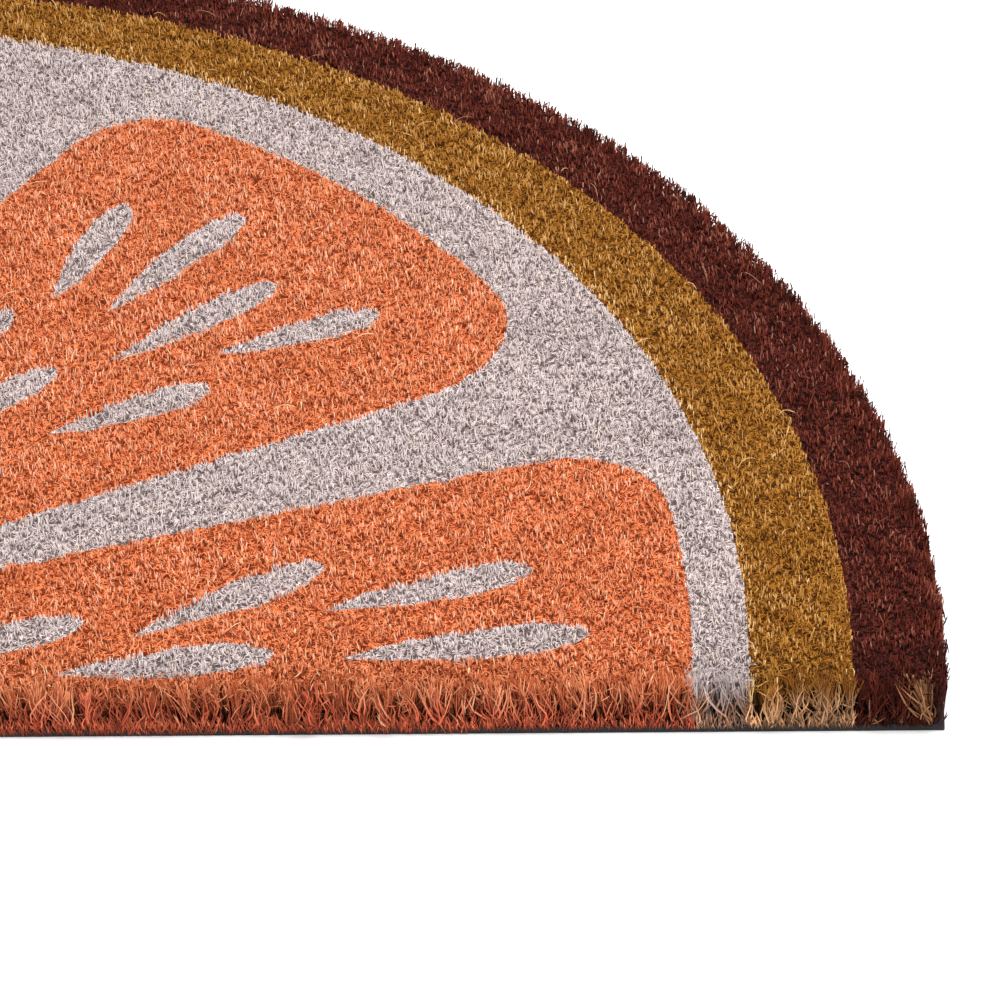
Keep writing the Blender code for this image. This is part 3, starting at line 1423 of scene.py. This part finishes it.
    def fringe_strands(self, edge: Edge) -> Strands:
        """Short cut fibres that stick out every way near the top of the round edge.

        Args:
            edge: The edge.

        Returns:
            Straight fibres of two points.
        """
        chance, style = self.chance, self.fringe
        feet = edge.feet(style.per_mm)
        tuft, count = feet.tuft, len(feet.tuft)
        out = chance.uniform(*style.outs_mm, count) * MM - edge.inset[tuft]
        z = self.outline.crown - style.depth * chance.random(count) ** style.depth_power
        z = z + style.rise_share * edge.rise[tuft]
        flat = feet.outward * chance.uniform(*style.outward, (count, 1))
        flat = flat + feet.along * chance.normal(0, style.side_scatter, (count, 1))
        axis = np.column_stack([flat, chance.uniform(*style.upward, count)])
        axis /= np.linalg.norm(axis, axis=1)[:, None]
        tip = np.column_stack([feet.place + feet.outward * out[:, None], z])
        root = tip - axis * chance.uniform(*style.lengths_mm, (count, 1)) * MM
        return style.look.strands([root, tip], style.shade, 0.0, chance)

    def stray_strands(self) -> Strands:
        """Loose curved fibres that stand or lie over the pile.

        Returns:
            Fibres of a few points.
        """
        chance, outline, style, count = self.chance, self.outline, self.stray, self.stray.count
        angle = chance.uniform(0, math.pi, count)
        reach = outline.radius * np.sqrt(chance.uniform(*style.reaches, count))
        x, y = reach * np.cos(angle), outline.front + reach * np.sin(angle)
        head = chance.uniform(0, TURN, count)
        length = chance.uniform(*style.lengths_mm, count) * MM
        bend = chance.normal(0, style.bend_scatter, count)
        lift = chance.uniform(*style.lifts_mm, count) * MM
        points = []
        for step in range(style.points):
            share = step / (style.points - 1)
            arch = math.sin(math.pi * min(share * style.arch, 1))
            z = outline.crown - style.rooted + (lift + style.least_lift) * arch
            points.append(np.column_stack([x, y, z]))
            turn = head + bend * share
            x = x + np.cos(turn) * length / style.points
            y = y + np.sin(turn) * length / style.points
        bare = chance.random(count) < style.undyed_share
        shade = np.where(bare, UNDYED, chance.uniform(*style.shades, count))
        width = style.width * chance.uniform(*style.widths, count)
        strands = Strands(np.stack(points, axis=1), width, shade, np.zeros(count))
        inset = np.min([outline.inset(each) for each in points], axis=0)
        return strands.pick(inset > -style.past_edge)

    def zones_of(self, points: np.ndarray) -> tuple[np.ndarray, np.ndarray]:
        """The printed zone at points, its borders a little uneven.

        Args:
            points: Points of the fibres.

        Returns:
            Zone numbers and segment numbers.
        """
        wander = self.design.edge_wander
        x = points[:, 0] + wander * self.waves["edge_x"].at(points)
        y = points[:, 1] + wander * self.waves["edge_y"].at(points)
        return self.design.zones(np.column_stack([x, y]))

    def straighten(self, strands: Strands) -> None:
        """Stands fibres up and levels them next to a printed border, so that the border stays crisp.

        Args:
            strands: Straight fibres, whose roots are moved under their tips.
        """
        paths, style = strands.paths, self.printed
        zone = self.zones_of(paths[:, 1])[0]
        crossing = self.zones_of(strands.at(style.checked_at))[0] != zone
        beside = crossing.copy()
        for step in ((1, 0, 0), (-1, 0, 0), (0, 1, 0), (0, -1, 0)):
            beside |= self.zones_of(paths[:, 1] + np.array(step) * style.border_band)[0] != zone
        excess = np.maximum(paths[:, 1, 2] - self.outline.crown + style.level_below, 0)
        paths[beside, :, 2] -= style.levelled * excess[beside, None]
        drift = paths[:, 0, :2] - paths[:, 1, :2]
        paths[beside, 0, :2] = paths[beside, 1, :2] + style.drift_beside * drift[beside]
        paths[crossing, 0, :2] = paths[crossing, 1, :2] + style.drift_crossing * drift[crossing]

    def vary_print(self, strands: Strands, zone: np.ndarray) -> None:
        """Mottles rind and ring, paints shade on the pile along the straight edge, darkens the orange print
        towards it and edges the ring in gold.

        Args:
            strands: The fibres, whose shades and dye are changed.
            zone: Their zone numbers.
        """
        tips, style, shade, dye = strands.at(1.0), self.printed, strands.shade, strands.dye_shift
        rind, ring, fruit = (zone == each.value for each in (Zone.RIND, Zone.RING, Zone.FRUIT))
        from_front = tips[:, 1] - self.outline.front
        loose = from_front < style.loose_band
        dyed_rind = rind & (shade < UNDYED_FROM)
        bands = (rind | ring) & (shade < UNDYED_FROM)
        shade[bands] = dyed(shade[bands] + style.mottle * self.waves["mottle"].at(tips[bands]))
        # Painted shade near the straight edge, plus the real darker orange print over the front half.
        most = np.array([FRONT_PAINTED_SHADE[each] for each in Zone])[zone]
        print_and_painted_shade = most * np.clip(1 - from_front / style.loose_band, 0, 1)
        wide = style.wide_fade * np.clip(1 - from_front / (style.wide_share * self.outline.radius), 0, 1)
        print_and_painted_shade += np.where(fruit, wide, 0)
        printed = shade < UNDYED_FROM
        shade[printed] = dyed(shade - print_and_painted_shade)[printed]
        lightest = fruit & loose
        dye[lightest] += style.light_dye * np.clip(shade[lightest] - style.light_from, 0, style.light_most)
        dye[~fruit & ~rind & loose] += style.inner_dye
        dye[dyed_rind & (dye > style.bare_below)] += style.rind_dye
        reach = self.outline.reach(tips) / self.outline.radius
        gold = ring & (reach < self.design.ring_inner + style.gold_share)
        gold &= self.chance.random(len(zone)) < style.gold_fibres
        shade[gold] = self.chance.uniform(*style.gold_shades, gold.sum())

    def piece_names(self, zone: np.ndarray, owner: np.ndarray, tips: np.ndarray) -> np.ndarray:
        """The name of the piece that each fibre belongs to.

        Args:
            zone: Zone numbers.
            owner: Segment numbers.
            tips: The fibres' tips.

        Returns:
            Piece names.
        """
        reach = self.outline.reach(tips) / self.outline.radius
        names = np.full(len(zone), "pith_rays", dtype="<U16")
        names[(zone == Zone.PITH.value) & (reach > self.design.arc_inner)] = "pith_arc"
        names[zone == Zone.DROP.value] = "juice_drops"
        names[zone == Zone.RING.value] = "mustard_ring"
        names[zone == Zone.RIND.value] = "brown_rind"
        for number in range(len(self.design.segments)):
            names[(zone == Zone.FRUIT.value) & (owner == number)] = f"fruit_segment_{number + 1}"
        return names

    def build(self) -> list[bpy.types.Object]:
        """Makes the fibres of every zone and the bed under them.

        Returns:
            The new pieces.
        """
        chance = self.chance
        front, rim = (Edge(self.outline, style, chance) for style in (FRONT_STYLE, RIM_STYLE))
        cut = self.cut_strands()
        self.straighten(cut)
        bent = chance.random(len(cut.width)) < self.cut.bent_share
        # Each kind of fibre, and where along its last stretch its zone is read.
        groups = [
            (FibreMesh.blades, cut.pick(~bent), 1.0),
            (FibreMesh.slivers, cut.pick(bent), 1.0),
            (FibreMesh.blades, self.strands_behind(front), 0.5),
            (FibreMesh.blades, self.strands_behind(rim), 0.5),
            (FibreMesh.tubes, self.edge_strands(front), 0.5),
            (FibreMesh.cut_tubes, self.edge_strands(rim), 0.5),
            (FibreMesh.slivers, self.fringe_strands(rim), 0.5),
            (FibreMesh.tubes, self.lying_strands(), 0.5),
            (FibreMesh.slivers, self.hanging_strands(), 0.5),
            (FibreMesh.tubes, self.stray_strands(), 0.5),
        ]
        meshes: dict[str, FibreMesh] = {}
        dye_of: dict[str, Dye] = {}
        for add, strands, share in groups:
            zone, owner = self.zones_of(strands.at(share))
            self.vary_print(strands, zone)
            names = self.piece_names(zone, owner, strands.at(share))
            for name in sorted(set(names.tolist())):
                mask = names == name
                mesh = meshes.setdefault(name, FibreMesh(self.outline, chance))
                dye_of[name] = DYES[Zone(int(zone[mask][0]))]
                add(mesh, strands.pick(mask))
        materials = {dye: dye.material() for dye in dict.fromkeys(DYES.values())}
        made = [mesh.build(name, materials[dye_of[name]]) for name, mesh in meshes.items()]
        made.append(Bed(self.outline, self.design, chance).build())
        return made


@dataclass
class Bed:
    """The matted pile between the cut fibres: a lumpy slab of crossed strands, seen in the gaps."""

    outline: Outline
    design: SlicePrint
    chance: np.random.Generator
    below_crown: float = 2.0 * MM
    above_foot: float = 0.3 * MM
    pitch: float = 3.2 * MM
    shake: float = 0.3
    clear_of_border: float = 1.1 * MM
    border_step: float = 2.2 * MM
    border_inset: float = 0.4 * MM
    setback: float = 2.1 * MM
    rim_setback: float = 0.9 * MM
    rim_slack: float = 0.02 * MM
    merged_within: float = 1e-7
    lumps: float = 0.5 * MM
    deepest_lump: float = 2.2
    highest_lump: float = 1.2
    ragged: float = 0.7 * MM
    skirt_rows: int = 3
    smooth_below: float = 80.0
    wall_painted_shade: float = 0.25
    dark_below: float = 7.0 * MM
    loose_band: float = 20 * MM
    loose_painted_shade: float = 0.25
    matted: Matted = Matted()

    def arc(self, reach: float) -> np.ndarray:
        """Points on an arc about the middle of the straight edge, between its ends on the slab's front."""
        start = math.asin(self.setback / reach)
        count = round(math.pi * reach / self.border_step)
        return headings(np.linspace(start, math.pi - start, count)) * reach

    def rim(self) -> np.ndarray:
        """The slab's outline, a little inside the mat's and further in along the straight edge.

        Returns:
            Points anticlockwise, without a repeat of the first.
        """
        reach = self.outline.radius - self.rim_setback
        half = reach * math.cos(math.asin(self.setback / reach))
        straight = np.linspace(-half, half, round(2 * half / self.border_step))[1:-1]
        low = np.full(len(straight), self.outline.front + self.setback)
        return np.concatenate([self.arc(reach) + self.outline.middle, np.column_stack([straight, low])])

    def borders(self) -> list[np.ndarray]:
        """The printed borders, as rows of points.

        Returns:
            Open rows for the rings, closed ones for the segments and drops.
        """
        radius = self.outline.radius
        shares = (self.design.rind_inner, self.design.ring_inner)
        rows = [self.arc(share * radius) + self.outline.middle for share in shares]
        for segment in self.design.segments:
            rows.append(self.design.segment_border(segment, self.border_step / radius))
            rows += [self.design.drop_border(segment, drop) for drop in segment.drops]
        return rows

    def triangulate(self) -> tuple[np.ndarray, np.ndarray, int]:
        """Joins the outline, the borders and a shaken net of points into triangles.

        Returns:
            Points in the floor's plane, triangles, and how many of the first points are the outline.
        """
        rim = self.rim()
        lines = [rim]
        links = [(n, (n + 1) % len(rim)) for n in range(len(rim))]
        for row in self.borders():
            inside = self.outline.inset(row) > self.setback + self.border_inset
            start = sum(map(len, lines))
            place = np.cumsum(inside) - 1
            joined = [n for n in range(len(row) - 1) if inside[n] and inside[n + 1]]
            links += [(start + int(place[n]), start + int(place[n + 1])) for n in joined]
            lines.append(row[inside])
        fixed = np.concatenate(lines)
        net = shaken_net(self.outline, self.pitch, self.shake, self.chance)
        net = net[self.outline.inset(net) > self.setback + self.clear_of_border]
        finder = KDTree(len(fixed))
        for number, point in enumerate(fixed):
            finder.insert((*point, 0.0), number)
        finder.balance()
        net = [point for point in net if finder.find((*point, 0.0))[2] > self.clear_of_border]
        points = [Vector(point) for point in (*fixed, *net)]
        made, _, faces, *_ = delaunay_2d_cdt(points, links, [], 0, self.merged_within)
        flat = np.array([tuple(point) for point in made])
        triangles = np.array([face for face in faces if len(face) == 3])
        inset = self.outline.inset(flat[triangles].mean(axis=1))
        return flat, triangles[inset > self.rim_setback - self.rim_slack], len(rim)

    def build(self) -> bpy.types.Object:
        """Makes the slab: a shaken top whose triangles keep to the printed borders, and its wall.

        Returns:
            The new piece.
        """
        flat, triangles, rim_count = self.triangulate()
        height = self.outline.crown - self.below_crown
        shake = self.chance.normal(0, self.lumps, len(flat))
        shake = shake.clip(-self.deepest_lump * self.lumps, self.highest_lump * self.lumps)
        outward = self.outline.outward(flat[:rim_count])
        top = flat.copy()
        top[:rim_count] += outward * self.chance.uniform(-1, 1, (rim_count, 1)) * self.ragged
        shake[:rim_count] -= self.ragged
        points = [np.column_stack([top, height + shake])]
        faces = [tuple(each) for each in triangles.tolist()]
        upper = np.arange(rim_count)
        count = len(flat)
        for row in range(1, self.skirt_rows + 1):
            level = height + (self.outline.foot + self.above_foot - height) * row / self.skirt_rows
            points.append(np.column_stack([flat[:rim_count], np.full(rim_count, level)]))
            lower = count + np.arange(rim_count)
            for n in range(rim_count):
                m = (n + 1) % rim_count
                faces.append((int(upper[n]), int(lower[n]), int(lower[m]), int(upper[m])))
            upper = lower
            count += rim_count
        faces.append(tuple(int(n) for n in upper[::-1]))
        mesh = bpy.data.meshes.new("pile_bed")
        mesh.from_pydata(np.concatenate(points).tolist(), [], faces)
        made = bpy.data.objects.new("pile_bed", mesh)
        bpy.context.scene.collection.objects.link(made)
        bpy.ops.object.select_all(action="DESELECT")
        made.select_set(True)
        bpy.context.view_layer.objects.active = made
        bpy.ops.object.mode_set(mode="EDIT")
        bpy.ops.mesh.select_all(action="SELECT")
        bpy.ops.mesh.normals_make_consistent(inside=False)
        bpy.ops.object.mode_set(mode="OBJECT")
        bpy.ops.object.shade_smooth_by_angle(angle=math.radians(self.smooth_below))
        self.paint(mesh)
        mesh.materials.append(self.matted.material())
        log.info("pile_bed: %d faces", len(mesh.polygons))
        return made

    def paint(self, mesh: bpy.types.Mesh) -> None:
        """Colours each face with its printed zone, with painted shade down the slab's wall, in its deepest
        dips and along the straight edge.

        Args:
            mesh: The bed's mesh.
        """
        count = len(mesh.polygons)
        middles = np.empty(count * 3)
        mesh.polygons.foreach_get("center", middles)
        middles = middles.reshape(-1, 3)
        zone = self.design.zones(middles)[0]
        sizes = np.empty(count, dtype=np.int32)
        mesh.polygons.foreach_get("loop_total", sizes)
        dye = np.array([linear(DYES[each].bed) for each in Zone])[zone]
        # Painted shade: faces darken the deeper they lie below the slab's top.
        depth = self.outline.crown - self.below_crown - 2 * self.lumps - middles[:, 2]
        dye[:, :3] *= 1 - (1 - self.wall_painted_shade) * np.clip(depth / self.dark_below, 0, 1)[:, None]
        # Painted shade: the bed darkens towards the straight edge.
        loose = np.clip(1 - (middles[:, 1] - self.outline.front) / self.loose_band, 0, 1)
        dye[:, :3] *= 1 - self.loose_painted_shade * loose[:, None]
        colours = mesh.color_attributes.new(BED_DYE, "FLOAT_COLOR", "CORNER")
        colours.data.foreach_set("color", np.repeat(dye, sizes, axis=0).ravel())


@dataclass(frozen=True)
class CutVinyl:
    """Cut PVC: black, matt and slightly pitted."""

    deep: str = "#0A0A0B"
    worn: str = "#232224"
    pit: float = 1.2 * MM
    scuff: float = 9 * MM
    detail: float = 4.0
    rough: Range = (0.45, 0.75)
    relief: float = 0.15 * MM
    relief_strength: float = 0.6
    gloss: float = 0.25

    def material(self) -> bpy.types.Material:
        """Pits a millimetre across lighten and dent it, and wider scuffs change how it shines.

        Returns:
            The material.
        """
        # The eye gets a near-black line with a soft, broken shine under the pile.
        material, node, shader = new_material("pvc_black_cut")
        place = node("TexCoord", {}).outputs["Object"]
        pits = node("TexNoise", {"Vector": place, "Scale": 1 / self.pit, "Detail": self.detail})
        scuffs = node("TexNoise", {"Vector": place, "Scale": 1 / self.scuff, "Detail": self.detail})
        colour = node("Mix", {"Factor": pits, 6: linear(self.deep), 7: linear(self.worn)}, **MIXED)
        rough = node("MapRange", {"Value": scuffs, **span("To", self.rough)})
        bump = node("Bump", {"Height": pits, "Distance": self.relief, "Strength": self.relief_strength})
        feed(shader, {"Base Color": colour, "Normal": bump})
        feed(shader, {"Roughness": rough, "Specular IOR Level": self.gloss})
        return material


@dataclass
class BackingSheet:
    """The PVC sheet that the fibres stand in, its cut edge slightly rounded."""

    outline: Outline
    thickness: float = 2.0 * MM
    edge_round: float = 0.25 * MM
    edge_steps: int = 2
    sides: int = 256
    smooth_below: float = 35.0
    vinyl: CutVinyl = CutVinyl()

    def build(self) -> bpy.types.Object:
        """Makes the sheet from a disc cut in half.

        Returns:
            The new piece.
        """
        bpy.ops.object.select_all(action="DESELECT")
        bpy.ops.mesh.primitive_cylinder_add(
            vertices=self.sides,
            radius=self.outline.radius,
            depth=self.thickness,
            location=(0, self.outline.front, self.thickness / 2),
        )
        made = bpy.context.active_object
        made.name = made.data.name = "pvc_sheet"
        bpy.ops.object.mode_set(mode="EDIT")
        bpy.ops.mesh.select_all(action="SELECT")
        bpy.ops.mesh.bisect(
            plane_co=(0, self.outline.front, 0), plane_no=(0, 1, 0), use_fill=True, clear_inner=True
        )
        bpy.ops.object.mode_set(mode="OBJECT")
        rounded = made.modifiers.new("edge_round", "BEVEL")
        rounded.width = self.edge_round
        rounded.segments = self.edge_steps
        rounded.limit_method = "ANGLE"
        bpy.ops.object.modifier_apply(modifier=rounded.name)
        bpy.ops.object.transform_apply(location=True, rotation=True, scale=True)
        bpy.ops.object.shade_smooth_by_angle(angle=math.radians(self.smooth_below))
        made.data.materials.clear()
        made.data.materials.append(self.vinyl.material())
        return made


@dataclass(frozen=True)
class Studio:
    """The floor, the lights and the camera, which are not part of the mat."""

    outline: Outline
    lens: float = 141.75
    sensor: float = 36.0
    pitch: float = 0.6299
    yaw: float = 0.1303
    roll: float = 0.0906
    stand: tuple[float, float, float] = (0.9838, -1.918, 1.5946)
    floor_size: float = 12.0
    floor_gap: float = 0.05 * MM
    floor_colour: str = "#F6F6F6"
    floor_rough: float = 0.9
    sky_strength: float = 0.5

    def add_camera(self) -> None:
        """Stands the camera where the photograph was taken from, in shares of the mat's radius."""
        data = bpy.data.cameras.new("camera")
        data.lens, data.sensor_width = self.lens, self.sensor
        camera = bpy.data.objects.new("camera", data)
        bpy.context.scene.collection.objects.link(camera)
        turn = (
            Matrix.Rotation(self.yaw, 3, "Z")
            @ Matrix.Rotation(-self.pitch, 3, "X")
            @ Matrix.Rotation(self.roll, 3, "Y")
        )
        facing = Matrix((turn.col[0], turn.col[2], -turn.col[1])).transposed()
        at = Vector(self.stand) * self.outline.radius + Vector((0, self.outline.front, 0))
        camera.matrix_world = Matrix.Translation(at) @ facing.to_4x4()
        bpy.context.scene.camera = camera

    def add_light(self, name: str, at: tuple[float, float, float], size: float, power: float) -> None:
        """Adds a square soft light that points at the mat.

        Args:
            name: The light's name.
            at: Its place, in metres.
            size: Its side, in metres.
            power: Its power, in watts.
        """
        data = bpy.data.lights.new(name, "AREA")
        data.size, data.energy = size, power
        light = bpy.data.objects.new(name, data)
        light.location = at
        light.rotation_euler = (-Vector(at)).to_track_quat("-Z", "Y").to_euler()
        bpy.context.scene.collection.objects.link(light)

    def add_floor(self) -> None:
        """Lays the plain pale floor just under the mat."""
        bpy.ops.object.select_all(action="DESELECT")
        bpy.ops.mesh.primitive_plane_add(size=self.floor_size, location=(0, 0, -self.floor_gap))
        floor = bpy.context.active_object
        floor.name = "floor"
        material, _, shader = new_material("floor_matt_white")
        feed(shader, {"Base Color": linear(self.floor_colour), "Roughness": self.floor_rough})
        floor.data.materials.append(material)

    def build(self) -> None:
        """Sets up everything round the mat."""
        scene = bpy.context.scene
        scene.view_settings.view_transform = "Standard"
        world = bpy.data.worlds.new("studio")
        world.use_nodes = True
        sky = world.node_tree.nodes["Background"]
        feed(sky, {"Color": linear("#FFFFFF"), "Strength": self.sky_strength})
        scene.world = world
        self.add_floor()
        self.add_light("key", at=(0.45, 0.0, 1.7), size=1.6, power=44.5)
        self.add_light("fill", at=(1.0, -1.4, 1.6), size=1.8, power=27.0)
        self.add_camera()


def main() -> None:
    """Builds the mat and its surroundings in order."""
    logging.basicConfig(level=logging.INFO, format="%(name)s: %(message)s")
    outline = Outline.from_frame()
    design = SlicePrint(outline)
    chance = np.random.default_rng(20)
    Studio(outline).build()
    sheet = BackingSheet(outline).build()
    pile = Pile(outline, design, chance).build()
    for piece in [sheet, *pile]:
        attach(piece, "root")
        log.info("%s rides on the mat", piece.name)
    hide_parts("backing")
    for piece in pile:
        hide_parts("pile")


if __name__ == "__main__":
    main()
